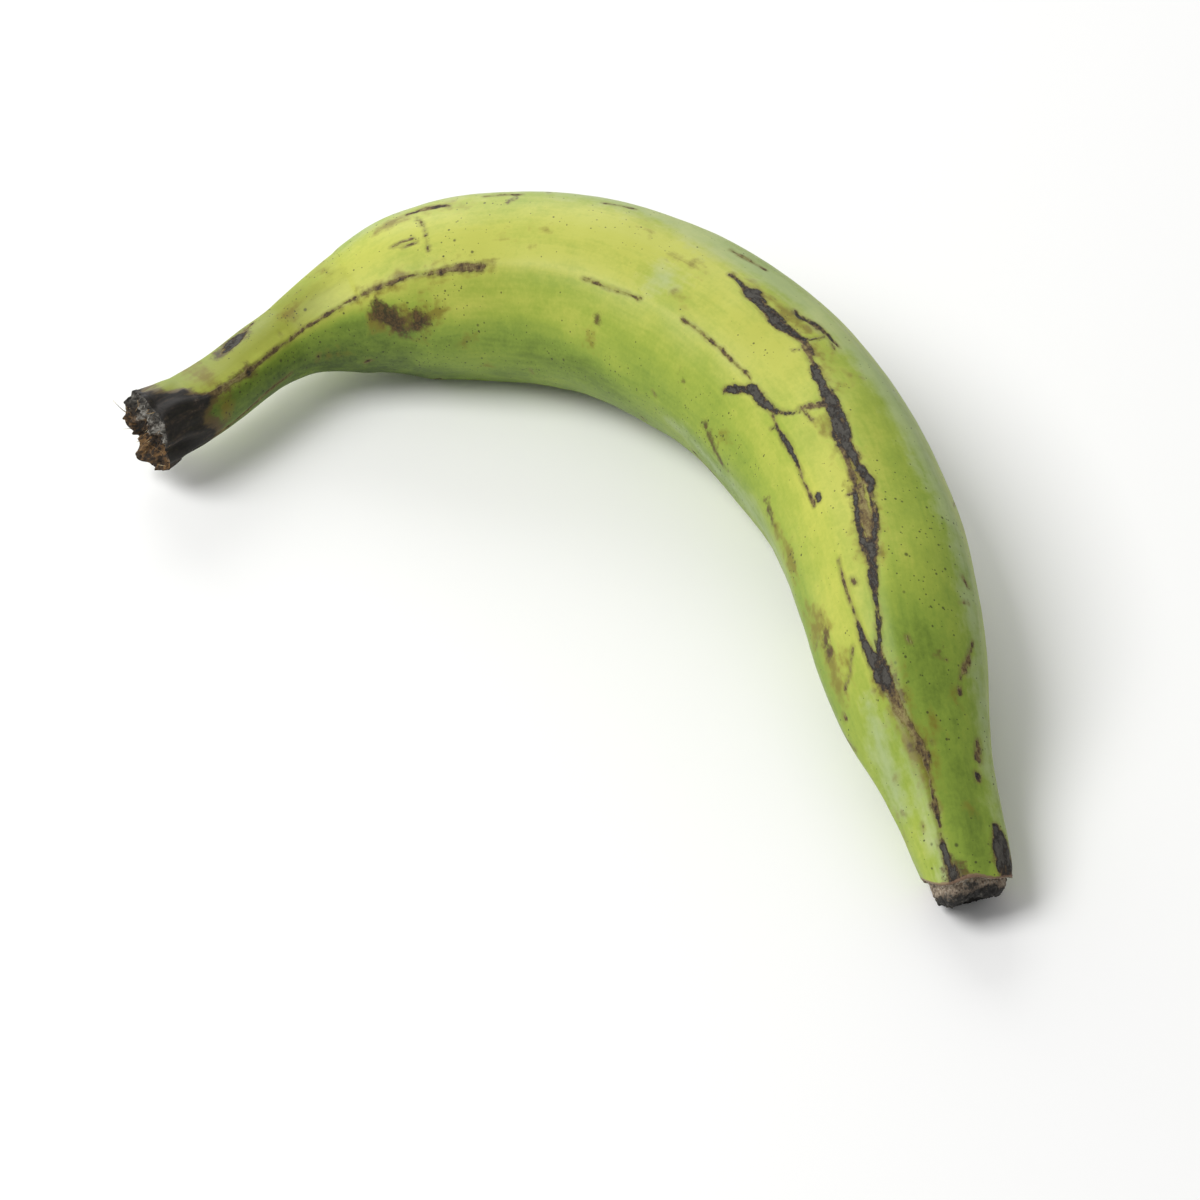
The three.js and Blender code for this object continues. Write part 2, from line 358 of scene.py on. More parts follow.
# Marks of growth and handling: where the skin rubbed on its neighbours it scarred, black and deep,
# thin and brown, or corky, and it has brown bruises and pale wax bloom, part of which is painted
# light. Each mark is a line of (along, round, half width).
BLACK_SCARS = [
    [(146, 84, 0.7), (148, 85, 0.3), (150, 87, 0.9), (153, 88, 1.9), (156, 89, 1.2), (160, 91, 1.6),
     (164, 91, 1.4)],
    [(164, 91, 1.4), (168, 88, 1.1), (170, 86, 0.7), (171, 80, 0.7), (171, 74, 0.3)],
    [(177, 91, 0.4), (180, 93, 1.1), (185, 95, 1.0), (190, 96, 1.7), (195, 97, 1.4), (199, 99, 2.0),
     (203, 100, 1.8)],
    [(203, 98, 1.0), (206, 98, 1.3), (210, 97, 0.9), (214, 95, 1.4), (218, 97, 0.6), (224, 98, 0.7),
     (230, 104, 1.3)],
    [(213, 103, 0.3), (218, 106, 0.7), (224, 109, 0.8), (230, 109, 1.0)],
    [(230, 105, 1.7), (234, 107, 0.9), (238, 109, 1.1), (243, 111, 0.4), (247, 113, 0.6),
     (251, 117, 0.7), (255, 120, 1.2)],
    [(243, 127, 0.4), (248, 126, 0.8), (252, 124, 1.2), (255, 121, 2.0), (258, 119, 1.5)],
    [(260, 117, 0.4), (262, 116, 1.0), (264, 115, 0.4)],
    [(268, 111, 0.4), (271, 108, 0.6), (273, 107, 0.4)],
    [(278, 113, 0.3), (281, 114, 0.9), (283, 115, 0.4)],
    [(285, 117, 0.3), (288, 116, 0.8), (291, 114, 0.9), (294, 110, 1.4)],
    [(294, 110, 1.4), (295, 100, 1.3), (295, 90, 0.7)],
    [(285, 45, 1.0), (289, 42, 2.5), (293, 36, 2.9), (295, 22, 2.4), (295, 2, 1.0)],
    [(161, 75, 0.3), (163, 77, 0.7), (166, 73, 0.7), (169, 71, 0.8), (173, 70, 0.3)],
    [(167, 141, 0.7), (169, 137, 1.1), (172, 132, 0.8), (174, 128, 1.3), (179, 128, 1.3),
     (184, 126, 0.9), (187, 121, 0.5), (189, 114, 0.3)],
    [(189, 130, 0.3), (193, 130, 0.8), (196, 130, 0.8), (201, 130, 0.2)],
    [(24, 73, 0.8), (26, 72, 1.6), (29, 70, 1.5), (31, 68, 0.7)],
    [(212, 127, 0.55), (213, 127, 0.55)],
    [(276, 56, 0.8), (277, 55, 0.8)],
    [(86, 312, 0.7), (90, 313, 1.4), (96, 313, 0.8)],
    [(158, 313, 0.8), (166, 313, 1.7), (172, 311, 1.1), (180, 312, 0.4)],
    [(224, 311, 0.8), (229, 312, 1.3), (236, 313, 0.5)],
    [(281, 311, 0.7), (290, 310, 1.6), (295, 309, 2.0)],
    [(198, 238, 0.7), (204, 237, 0.9)],
    [(169, 351, 0.7), (173, 353, 1.2), (178, 352, 0.4)],
]
BROWN_SCARS = [
    [(53, 124, 0.25), (60, 125, 0.25), (67, 126, 0.45), (72, 126, 0.3), (77, 128, 0.4), (82, 127, 0.9),
     (88, 128, 0.8)],
    [(117, 129, 0.2), (124, 130, 0.35), (133, 128, 0.2)],
    [(146, 126, 0.25), (154, 126, 0.35), (162, 126, 0.35), (171, 125, 0.25)],
    [(165, 90, 1.2), (170, 87, 0.9), (177, 91, 0.7)],
    [(72, 70, 0.4), (77, 71, 0.9), (81, 74, 0.4)],
    [(74, 77, 0.25), (76, 92, 0.2), (76, 102, 0.15), (76, 112, 0.3)],
    [(68, 99, 0.12), (72, 98, 0.15)],
    [(70, 104, 0.1), (73, 102, 0.12)],
    [(88, 70, 0.3), (96, 70, 0.35)],
    [(112, 70, 0.3), (118, 67, 0.4)],
    [(140, 64, 0.3), (144, 63, 0.45), (148, 62, 0.35)],
    [(10, 129, 1.2), (16, 131, 0.8), (22, 131, 0.6), (28, 131, 0.5), (38, 129, 0.4), (52, 126, 0.2)],
    [(12, 206, 0.8), (18, 198, 0.6), (26, 186, 0.4), (34, 184, 0.3)],
    [(230, 127, 0.2), (235, 128, 0.35), (243, 127, 0.25)],
    [(184, 128, 0.3), (189, 130, 0.35)],
    [(200, 130, 0.3), (206, 132, 0.25), (214, 131, 0.2)],
    [(248, 136, 0.25), (252, 146, 0.3), (254, 158, 0.2)],
    [(188, 113, 0.4), (189, 107, 0.9), (190, 101, 1.0)],
    [(203, 101, 1.0), (208, 103, 0.7), (213, 103, 0.4)],
    [(250, 97, 0.4), (251, 96, 0.5)],
    [(236, 122, 0.4), (237, 121, 0.4)],
    [(257, 169, 0.5), (258, 168, 0.5)],
    [(259, 188, 0.5), (264, 177, 0.4)],
    [(250, 44, 0.3), (254, 51, 0.8), (258, 60, 0.3)],
    [(236, 46, 0.4), (238, 42, 0.5)],
    [(260, 62, 0.4), (261, 62, 0.4)],
    [(270, 49, 0.7), (273, 51, 0.9)],
    [(257, 119, 1.2), (261, 117, 0.9), (267, 112, 0.5), (272, 109, 0.7), (275, 111, 0.3),
     (284, 115, 0.35)],
    [(58, 312, 0.3), (72, 310, 0.5), (86, 312, 0.9), (104, 312, 0.4)],
    [(146, 311, 0.4), (158, 313, 0.9), (174, 311, 0.9), (190, 310, 0.5)],
    [(212, 312, 0.4), (224, 311, 0.8), (240, 313, 0.4)],
    [(258, 312, 0.3), (272, 312, 0.6), (281, 311, 0.7)],
    [(98, 238, 0.3), (112, 239, 0.7), (120, 238, 0.3)],
    [(188, 238, 0.4), (202, 237, 0.7), (214, 238, 0.3)],
    [(108, 20, 0.3), (114, 14, 0.6), (121, 11, 0.3)],
    [(205, 16, 0.3), (212, 24, 0.6), (216, 34, 0.3)],
    [(232, 340, 0.5), (240, 344, 0.7)],
    [(70, 352, 0.4), (75, 362, 0.6), (79, 368, 0.3)],
    [(160, 205, 0.4), (168, 209, 0.6), (175, 208, 0.3)],
]
CORKY_SCARS = [
    [(216, 101, 0.6), (221, 103, 1.2), (226, 104, 1.2), (231, 104, 0.6)],
    [(260, 119, 0.5), (263, 117, 1.2), (267, 113, 0.8), (270, 110, 0.9), (273, 109, 0.5)],
    [(92, 312, 0.8), (100, 312, 0.9), (108, 311, 0.4)],
    [(174, 311, 0.8), (182, 310, 0.9), (190, 311, 0.4)],
]
BROWN_BRUISES = [
    [(61, 136, 1.0), (62, 144, 2.4), (64, 154, 2.2), (66, 166, 1.4)],
    [(69, 154, 0.8), (71, 156, 2.0), (68, 163, 1.6)],
    [(241, 159, 0.8), (244, 158, 1.6), (246, 159, 0.8)],
    [(167, 166, 0.3), (173, 173, 0.4), (179, 179, 0.3)],
    [(200, 163, 0.4), (206, 166, 0.3)],
    [(22, 72, 1.2), (31, 69, 1.2)],
    [(16, 131, 1.4), (26, 131, 0.8)],
    [(257, 119, 1.8), (262, 116, 0.8)],
    [(289, 40, 3.0), (294, 20, 2.6)],
    [(290, 114, 1.4), (295, 104, 1.6)],
    [(150, 312, 1.0), (170, 313, 1.5), (186, 311, 1.0)],
    [(84, 311, 1.2), (104, 312, 1.2)],
    [(168, 351, 1.4), (180, 352, 1.0)],
]
OCHRE_STAINS = [
    [(232, 163, 1.5), (240, 160, 3.4), (249, 160, 3.0), (256, 164, 1.5)],
    [(60, 152, 3.5), (68, 158, 4.0), (74, 152, 2.5)],
    [(206, 166, 1.5), (216, 165, 2.4), (226, 164, 1.5)],
    [(256, 120, 2.6), (265, 116, 3.6), (273, 112, 2.6), (280, 113, 1.2)],
    [(14, 60, 2.5), (14, 100, 2.5), (16, 130, 2.0), (14, 170, 2.0)],
    [(58, 124, 1.5), (74, 127, 1.8), (90, 128, 1.2)],
    [(66, 74, 1.0), (74, 72, 1.8), (84, 76, 1.0)],
    [(150, 84, 1.4), (166, 80, 1.8), (178, 86, 1.4)],
    [(196, 102, 2.6), (216, 100, 2.6), (232, 106, 2.4)],
    [(160, 312, 3.0), (188, 311, 2.5)],
    [(88, 312, 2.5), (106, 312, 2.0)],
]
# Pale wax bloom, partly painted light: the long line on the upper back facet runs along the fruit's
# outline as the camera sees it and stands in for the sheen there, and the strip round 140 to 157 near
# the tip lightens the tip's lit side.
WAX_BLOOM_AND_PAINTED_LIGHT = [
    [(134, 110, 3.2), (136, 110, 3.2)],
    [(60, 56, 3.0), (100, 60, 4.0), (140, 66, 4.8), (170, 62, 4.5), (200, 54, 3.5), (235, 44, 2.0),
     (285, 36, 1.5)],
    [(258, 140, 0.8), (264, 145, 2.4), (272, 151, 3.0), (280, 157, 2.0)],
    [(152, 188, 1.5), (170, 187, 2.5), (200, 186, 3.0), (230, 188, 2.5), (252, 190, 1.5)],
    [(262, 130, 0.4), (276, 126, 0.9), (292, 124, 1.0)],
    [(150, 280, 2.0), (210, 284, 2.0)],
    [(120, 340, 3.0), (160, 334, 3.4), (200, 336, 3.0)],
]
# How dark each kind of scar has dried, from 0, pale cork, to 1, black.
BLACK = 1.0
BROWN = 0.43
CORKY = 0.18
# The stalk has dried black from its torn end on to here.
BLACK_TO = [
    (0, 6), (40, 3.5), (62, 3), (84, 4.5), (98, 8), (112, 8.5), (128, 12.5), (140, 12), (158, 9.5),
    (180, 12), (215, 12), (260, 9), (310, 8), (360, 6),
]
# How far outside a mark its field still falls, the longest step along its line, and about what a
# degree round the fruit measures, all in mm.
FIELD_FLOOR = -6.0
STEP_ALONG_MARK = 1.5
MM_PER_DEGREE = 0.35
# Random nicks: where along the fruit they may start, how far they may drift round it, in degrees,
# and how thin their far end is.
NICKS_BETWEEN = (35, 288)
NICK_DRIFT = 6
NICK_TAPER = 0.6
# Random side cracks: the share of knots that have one, how far beside the knot it starts, how far
# along and round it runs, and the half width of its tip.
SPUR_CHANCE = 0.14
SPUR_BESIDE = 2
SPUR_ALONG = (1.5, 4.5)
SPUR_ROUND = (3, 9)
SPUR_TIP = 0.15


def distance_inside(marks, points):
    """How far each point of the skin lies inside the nearest mark, in mm, and negative outside it:
    the half width there less the distance to the mark's line, which lies on the skin."""
    field = np.full(points.shape[:-1], FIELD_FLOOR)
    for mark in marks:
        knots = np.array(mark, float)
        bends = np.hypot(np.diff(knots[:, 0]), MM_PER_DEGREE * np.diff(knots[:, 1]))
        travelled = np.append(0, np.cumsum(bends))
        stops = np.linspace(0, travelled[-1], max(2, math.ceil(travelled[-1] / STEP_ALONG_MARK) + 1))
        at, angle, width = (np.interp(stops, travelled, knots[:, i]) for i in range(3))
        line = point_on(at, angle, skin(at, angle), push_along(at, angle))
        for k in range(len(line) - 1):
            near = np.abs(ring_along - at[k]) < width[k] - FIELD_FLOOR + 2 * STEP_ALONG_MARK
            run = line[k + 1] - line[k]
            gap = points[near] - line[k]
            share = np.clip(gap @ run / (run @ run), 0, 1)
            inside = width[k] + share * (width[k + 1] - width[k])
            inside = inside - np.linalg.norm(gap - share[..., None] * run, axis=-1)
            field[near] = np.maximum(field[near], inside)
    return field


def small_knocks(seed, count, longest, width):
    """Short random nicks along the fruit, as lines for distance_inside."""
    draw = np.random.default_rng(seed)
    at = draw.uniform(*NICKS_BETWEEN, count)
    angle = draw.uniform(0, 360, count)
    length = draw.uniform(0.4, longest, count)
    drift = draw.normal(0, NICK_DRIFT, count)
    near = draw.uniform(0.5, 1, count) * width
    far = near * NICK_TAPER
    return [
        [(at[i], angle[i], near[i]), (at[i] + length[i], angle[i] + drift[i], far[i])]
        for i in range(count)
    ]


def spurs(marks, seed):
    """Fine side cracks that leave some marks' knots slantwise, as lines for distance_inside. Each
    starts about half as wide as its mark, and the wider the mark, the further round it runs."""
    draw = np.random.default_rng(seed)
    found = []
    for mark in marks:
        for at, angle, width in mark:
            if draw.random() > SPUR_CHANCE:
                continue
            side = draw.choice([-1, 1])
            ahead = draw.uniform(*SPUR_ALONG)
            aside = draw.uniform(*SPUR_ROUND) * (0.5 + width)
            found.append([
                (at, angle + side * SPUR_BESIDE, 0.45 * width + 0.1),
                (at + ahead, angle + side * aside, SPUR_TIP),
            ])
    return found


# The blackened stalk ends in tongues: their height and length in mm.
TONGUES = 0.7
TONGUE_LENGTH = 5
# Where kinds of scar meet, the darkness runs from one to the other over about 1 / MEETING mm.
MEETING = 3
# A bruise reaches this far past the blackened stalk.
BRUISED_PAST = 1.2

bare = point_on(along, around, reach, onward)
charred = through(BLACK_TO, around % 360) - along + TONGUES * waves(straight, TONGUE_LENGTH, 21)
kinds = {
    BLACK: distance_inside(BLACK_SCARS + small_knocks(11, 8, 1.0, 0.45), bare),
    BROWN: distance_inside(BROWN_SCARS + spurs(BLACK_SCARS, 14) + small_knocks(13, 30, 1.4, 0.22), bare),
    CORKY: distance_inside(CORKY_SCARS, bare),
}
scar_field = np.max(list(kinds.values()), axis=0)
weight = {darkness: np.exp(MEETING * (field - scar_field)) for darkness, field in kinds.items()}
scar_darkness = sum(darkness * w for darkness, w in weight.items()) / sum(weight.values())
bruise_field = distance_inside(BROWN_BRUISES + small_knocks(12, 24, 1.6, 0.05), bare)
bruise_field = np.maximum(bruise_field, charred + BRUISED_PAST)
ochre_field = distance_inside(OCHRE_STAINS + small_knocks(15, 60, 9.0, 0.9), bare)
bloom_and_light_field = distance_inside(WAX_BLOOM_AND_PAINTED_LIGHT, bare)


def near_angle(angle, spread):
    """1 at an angle round the fruit, falling away evenly over a spread in degrees."""
    return np.exp(-(away_from(around, angle) / spread) ** 2)


def eased(knots):
    """A share along the fruit: an even S from each (along, share) knot to the next."""
    share = knots[0][1]
    for (low, before), (high, after) in zip(knots, knots[1:]):
        share = share + (after - before) * smooth(along, low, high)
    return share


# How yellow, and so how light, the green is. It is lighter and yellower on the upper side and the
# upper inside of the bend, partly the peel's own colour and partly painted light; darker on the sides
# of the flower end; darker green below the crest, partly its own colour and partly painted shade; and
# much darker green on the stalk's lower face and the sides towards the floor, which is painted shade.
# Each change: by how much, where round the fruit, and where along it.
EVEN_YELLOW = 0.58
YELLOW_LIGHT_AND_SHADE_CHANGES = [
    (0.30, near_angle(104, 38), [(185, 1), (262, 0)]),
    (0.14, near_angle(148, 24), [(56, 0), (80, 1), (130, 1), (180, 0)]),
    (-0.12, smooth(away_from(around, 128), -1, 9), [(56, 0), (76, 1), (150, 1), (200, 0)]),
    (0.15, near_angle(140, 26), [(180, 0), (215, 1), (248, 1), (282, 0.3)]),
    (-0.30, near_angle(78, 36), [(228, 0), (262, 1)]),
    (-0.14, near_angle(66, 22), [(165, 0), (190, 1), (240, 1), (262, 0)]),
    (-0.54, smooth(np.abs(away_from(around, 195)), 66, 48), [(48, 1), (86, 0)]),
    (-0.16, smooth(np.abs(away_from(around, 212)), 62, 30), [(50, 0), (96, 1)]),
]
UNEVEN_YELLOW = 0.05

# yellow holds the peel's tone together with this painted light and shade.
yellow = EVEN_YELLOW + UNEVEN_YELLOW * waves(straight * [0.35, 1, 1], 12, 22)
for amount, share_round, knots in YELLOW_LIGHT_AND_SHADE_CHANGES:
    yellow = yellow + amount * share_round * eased(knots)
# The top of the stalk is made duller and more olive, partly its own tint and partly painted shade.
olive = near_angle(88, 46) * eased([(40, 1), (66, 0)])


# The peel's own relief, in mm: low lumps, faint lengthwise cords under the wax, scars that sank as
# they dried and cracked, and the shrivelled end of the stalk.
LUMPS = 0.07
PIMPLES = 0.012
CORDS = 0.008
SCAR_SINK = 0.14
SCAR_CRACKS = 0.08
SHRIVEL = 0.22

reach = reach + LUMPS * waves(straight, 16, 31) + PIMPLES * waves(straight, 4.5, 32)
reach += CORDS * waves(straight * [0.12, 1, 1], 3.2, 33)
scarred = smooth(scar_field, -0.5, 0.6)
reach += scarred * (-SCAR_SINK + SCAR_CRACKS * waves(straight, 1.6, 34))
reach += smooth(charred, -2, 3) * SHRIVEL * waves(straight * [0.25, 1, 1], 3.4, 35)


# The torn stalk: where the fruit was pulled from its bunch, fibres and pith tore and dried dark
# round a raised tuft. The face runs from the tuft out to the rim: (share of the reach, how far in).
TORN = [(0.12, -0.2), (0.26, 1.1), (0.46, 1.3), (0.66, 1.1), (0.84, 0.6), (0.95, 0)]
TORN_RINGS = 26
TORN_BETWEEN = (0.06, 0.97)
TORN_ROUGH = 0.45

torn_share = np.linspace(*TORN_BETWEEN, TORN_RINGS)[:, None]
torn_along = np.zeros((TORN_RINGS, 1))
torn_around = np.broadcast_to(around[0], (TORN_RINGS, around.shape[1]))
torn_reach = reach[0] * torn_share
torn_sunk = through([(share, sunk) for share, sunk in TORN], torn_share)
torn_onward = torn_sunk - torn_share * (
    through(RIM, torn_around % 360) + RAGGED_OUT * ragged(torn_around, 1 - torn_share)
)
torn_straight = unbent(torn_onward, torn_around, torn_reach)
torn_onward += TORN_ROUGH * torn_share ** 0.5 * waves(torn_straight, 2.2, 41)
torn_onward += 0.5 * TORN_ROUGH * waves(torn_straight, 0.9, 42)


# The flower scar: where the dried flower broke off, a hard corky collar stands out of the skin's
# waved edge, round a black hollow with a nub in it: (share of the reach, how far past the edge).
# It slants, furthest out at SCAR_SLANT_TO, and is free of the skin's form from the fourth knot on.
SCAR = [
    (0.97, 0.4), (0.88, 0.6), (0.83, 1.2), (0.82, 2.4), (0.77, 3.9), (0.68, 5.2),
    (0.56, 5.8), (0.45, 5.3), (0.36, 4.3), (0.24, 3.9), (0.10, 4.5),
]
SCAR_RINGS = 54
SCAR_OUTWARD = 0.2
SCAR_SLANT = 1.3
SCAR_SLANT_TO = 200
SCAR_ROUGHNESS = 0.35
SCAR_FREE_AT = 3
SCAR_GRAIN = 0.10
HOLLOW_KNOT = 6.5
HOLLOW_GRAIN = 0.30

knot = np.linspace(0, len(SCAR) - 1, SCAR_RINGS)[:, None]
scar_share = through([(i, share) for i, (share, _) in enumerate(SCAR)], knot)
scar_past = through([(i, past) for i, (_, past) in enumerate(SCAR)], knot)
scar_around = np.broadcast_to(around[-1], (SCAR_RINGS, around.shape[1]))
scar_along = np.full((SCAR_RINGS, 1), float(SKIN_END))
free = smooth(knot, 0, SCAR_FREE_AT) * scar_share
# The skin's own small relief stops at its edge, so the scar grows out of the smooth form.
scar_reach = (
    skin(scar_along, scar_around) * scar_share
    + SCAR_ROUGHNESS * ragged(scar_around, knot / len(SCAR))
    + SCAR_OUTWARD * free * np.cos(np.radians(scar_around))
)
scar_onward = (
    scar_past
    + through(SKIN_EDGE, scar_around % 360) * scar_share
    + SCAR_SLANT * free * np.cos(np.radians(scar_around - SCAR_SLANT_TO))
    + SCAR_ROUGHNESS * ragged(scar_around, -knot)
)
scar_straight = unbent(scar_along + scar_onward, scar_around, scar_reach)
grown = smooth(knot, 0, 2)
in_hollow = smooth(knot, HOLLOW_KNOT - 1, HOLLOW_KNOT)
grain_height = SCAR_GRAIN + (HOLLOW_GRAIN - SCAR_GRAIN) * in_hollow
scar_reach = scar_reach + grown * SCAR_GRAIN * waves(scar_straight, 1.1, 51)
scar_onward = scar_onward + grown * grain_height * (
    waves(scar_straight, 1.6, 52) + 0.6 * waves(scar_straight, 0.7, 53)
)


# The whole skin as one mesh: the torn face, the peel and the flower scar, ring after ring, with a
# point at each end that closes it.
def stacked(torn_part, skin_part, scar_part):
    """One grid of the three parts' values, with the value of a closing point at each end."""
    wide = [np.broadcast_to(p, (n, around.shape[1]) + np.shape(p)[2:]) for p, n in (
        (torn_part, TORN_RINGS), (skin_part, len(ring_along)), (scar_part, SCAR_RINGS),
    )]
    grid = np.concatenate(wide)
    flat = grid.reshape(-1, *grid.shape[2:])
    return np.concatenate([flat, grid[:1].mean(1), grid[-1:].mean(1)])


points = stacked(
    point_on(torn_along, torn_around, torn_reach, torn_onward),
    point_on(along, around, reach, onward),
    point_on(scar_along, scar_around, scar_reach, scar_onward),
)
rings = TORN_RINGS + len(ring_along) + SCAR_RINGS
columns = around.shape[1]


def tube_faces(rings, sides):
    """The faces of a closed tube whose points run ring by ring, with one more point for each end:
    a four-sided face between neighbours on two rings, and a fan of triangles to each end point."""
    ring, side = np.meshgrid(np.arange(rings - 1), np.arange(sides), indexing="ij")
    corner = ring * sides + side
    beside = ring * sides + (side + 1) % sides
    walls = np.stack([corner, beside, beside + sides, corner + sides], -1).reshape(-1, 4)
    edge = np.arange(sides)
    next_edge = (edge + 1) % sides
    last_ring = (rings - 1) * sides
    near_end = np.full(sides, rings * sides)
    far_end = near_end + 1
    near_cap = np.stack([near_end, next_edge, edge], -1)
    far_cap = np.stack([far_end, last_ring + edge, last_ring + next_edge], -1)
    return walls, near_cap, far_cap


faces = [face for part in tube_faces(rings, columns) for face in part.tolist()]
mesh = bpy.data.meshes.new("plantain_skin")
mesh.from_pydata((points * MM).tolist(), [], faces)
mesh.shade_smooth()

# The order of the mesh's three materials.
ON_PEEL = 0
ON_STALK = 1
ON_SCAR = 2
place_of_ring = np.full(rings - 1, ON_PEEL)
place_of_ring[:TORN_RINGS] = ON_STALK
place_of_ring[rings - SCAR_RINGS:] = ON_SCAR
caps = [np.full(columns, ON_STALK), np.full(columns, ON_SCAR)]
mesh.polygons.foreach_set("material_index", np.concatenate([np.repeat(place_of_ring, columns), *caps]))

# The fields that the materials read. The peel's own are level on the torn face and the flower scar,
# which lie past its edges.
DEEP = 3.0
DEEPEST = 6.0
FIELDS = {
    "unbent": stacked(torn_straight, straight, scar_straight),
    "scar": stacked(DEEP, scar_field, DEEP),
    "darkness": stacked(BLACK, scar_darkness, BLACK),
    "charred": stacked(DEEPEST, charred, FIELD_FLOOR),
    "bruise": stacked(DEEP, bruise_field, DEEP),
    "ochre": stacked(FIELD_FLOOR, ochre_field, FIELD_FLOOR),
    # The next three also carry painted light and shade: olive the stalk top's painted shade, bloom
    # painted light along the outline and on the tip, yellow painted light above and painted shade below.
    "olive": stacked(0.0, olive, 0.0),
    "bloom": stacked(FIELD_FLOOR, bloom_and_light_field, FIELD_FLOOR),
    "yellow": stacked(0.5, yellow, 0.5),
    "to_edge": stacked(LENGTH, SKIN_END - along, 0.0),
    "inward": stacked(0.0, 0.0, knot / (len(SCAR) - 1)),
}
for name, values in FIELDS.items():
    kind = "FLOAT_VECTOR" if values.ndim == 2 else "FLOAT"
    mesh.attributes.new(name, kind, "POINT").data.foreach_set(
        "vector" if values.ndim == 2 else "value", values.astype(np.float32).ravel(),
    )

plantain_skin = bpy.data.objects.new("plantain_skin", mesh)
bpy.context.scene.collection.objects.link(plantain_skin)
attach(plantain_skin, "root")
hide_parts("plantain")


# Unripe peel: a living skin with a thin coat of wax. The eye sees soft, broad highlights, greens
# that turn yellow where the sun reached, fine pale grain, and scars that are crisp, dark and dull.
# Its colour also holds painted light on the upper side and painted shade on the sides towards the floor.
# The darkest greens serve the painted shade, and the lightest are partly painted light.
GREENS = [
    (0.0, "#475A1D"), (0.14, "#657B29"), (0.34, "#809736"), (0.60, "#9AAB40"), (0.90, "#BCC054"),
]
# The pale wax colour is also the painted light of the bloom marks.
PALE_WAX_AND_LIGHT = "#AEBBA0"
STALK_OLIVE_AND_SHADE = "#7A8224"
OCHRE_BROWN = "#75641D"
BRUISE_TONES = [(0.40, "#2A1D14"), (0.60, "#574023")]
HALO_OLIVE = "#736B33"
# The palest grey at the deepest end is partly painted sheen.
SCAR_TONES_AND_SHEEN = [
    (0.05, "#8A7F4E"), (0.34, "#6B5A36"), (0.60, "#46392A"), (0.80, "#24211D"), (1.0, "#494640"),
]
CHAR_FRINGE = "#5B4A28"
CHAR_TONES = [(0.34, "#0E0C0B"), (0.52, "#221E1A"), (0.63, "#3B3128"), (0.74, "#6A655E")]
EDGE_TAN = "#8A6F5A"
SPECK_BROWN = "#35331A"
# Each pattern: the size of its patches in mm, how many times longer they are along the fruit, and
# its detail.
PEEL_PATTERNS = {
    "patch": (26, 1, 2),
    "mottle": (5, 1, 4),
    "blotch": (1.8, 1, 4),
    "grain": (0.9, 1, 3),
    "crack": (0.6, 1, 3),
    "streak": (1.3, 11, 3),
    "tear": (0.9, 4, 3),
}
# Specks: how far apart they can be, and the radius of the largest as a share of that. They grow in
# size between two chances, which noise makes uneven and yellow skin lowers.
SPECKS = [(4.1, 0.12), (1.8, 0.18), (0.9, 0.23)]
SPECK_GROWS = (0.28, 0.80)
SPECK_CLUSTERS = {"mottle": 1.8, "patch": 1.6}
FEWER_ON_YELLOW = 0.45
# Plant wax has an IOR near 1.4. The coat is smoothest where it is whole and duller where it
# bloomed, and scars and the blackened stalk are dullest.
WAX_IOR = 1.40
WAX_SPECULAR = 0.45
WAX_ROUGHNESS = 0.46
DRY_ROUGHNESS = 0.68
BLOOM_DULLING = 0.8
# Heights in mm, for the bump.
GRAIN_HEIGHT = 0.025
STREAK_HEIGHT = 0.02
CRACK_HEIGHT = 0.30


def patterns(tree, spread, sizes):
    """Noise by name, from 0 to 1, on the fruit drawn out straight."""
    made = {}
    for name, (size, longer, detail) in sizes.items():
        place = add(tree, "ShaderNodeMapping", {"Vector": spread, "Scale": (1 / longer, 1, 1)})
        made[name] = add(
            tree, "ShaderNodeTexNoise",
            {"Vector": place, "Scale": 1 / size, "Detail": detail, "Roughness": 0.55},
        )
    return made


def weigh(tree, value, noise, **weights):
    """A value plus the swing of each named noise about its middle, 0.5, times a weight."""
    for name, amount in weights.items():
        value = add(
            tree, "ShaderNodeMath", {0: noise[name], 1: amount, 2: value}, operation="MULTIPLY_ADD",
        )
    return add(tree, "ShaderNodeMath", {0: value, 1: sum(weights.values()) / 2}, operation="SUBTRACT")


def lay(tree, surface, colour, depth, low, high, most=1.0):
    """Lays a colour over the surface: none up to a low depth, and the most from a high one on.
    Returns the new surface, and how much of it the colour covers."""
    cover = add(
        tree, "ShaderNodeMapRange",
        {"Value": depth, "From Min": low, "From Max": high, "To Max": most},
        interpolation_type="SMOOTHSTEP",
    )
    mixed = add(
        tree, "ShaderNodeMix", {"Factor": cover, "A": surface, "B": colour}, data_type="RGBA",
    )
    return mixed, cover


peel, tree = new_material("waxy_unripe_peel")
spread = add(tree, "ShaderNodeAttribute", output="Vector", attribute_name="unbent")
noise = patterns(tree, spread, PEEL_PATTERNS)
PEEL_FIELDS = ["scar", "darkness", "charred", "bruise", "ochre", "olive", "bloom", "yellow", "to_edge"]
field = {
    name: add(tree, "ShaderNodeAttribute", output="Fac", attribute_name=name) for name in PEEL_FIELDS
}

# The yellow field and GREENS give painted light on the upper side and painted shade on the stalk's lower
# face and the sides towards the floor.
tone = weigh(tree, field["yellow"], noise, patch=0.34, mottle=0.34, streak=0.28, grain=0.24)
surface = add(tree, "ShaderNodeValToRGB", {"Fac": tone}, stops=GREENS)
# Olive over the top of the stalk: partly its own tint and partly painted shade.
olive_and_shade_depth = weigh(tree, field["olive"], noise, mottle=0.6, streak=0.5)
surface, _ = lay(tree, surface, linear(STALK_OLIVE_AND_SHADE), olive_and_shade_depth, 0.05, 0.9, 0.7)

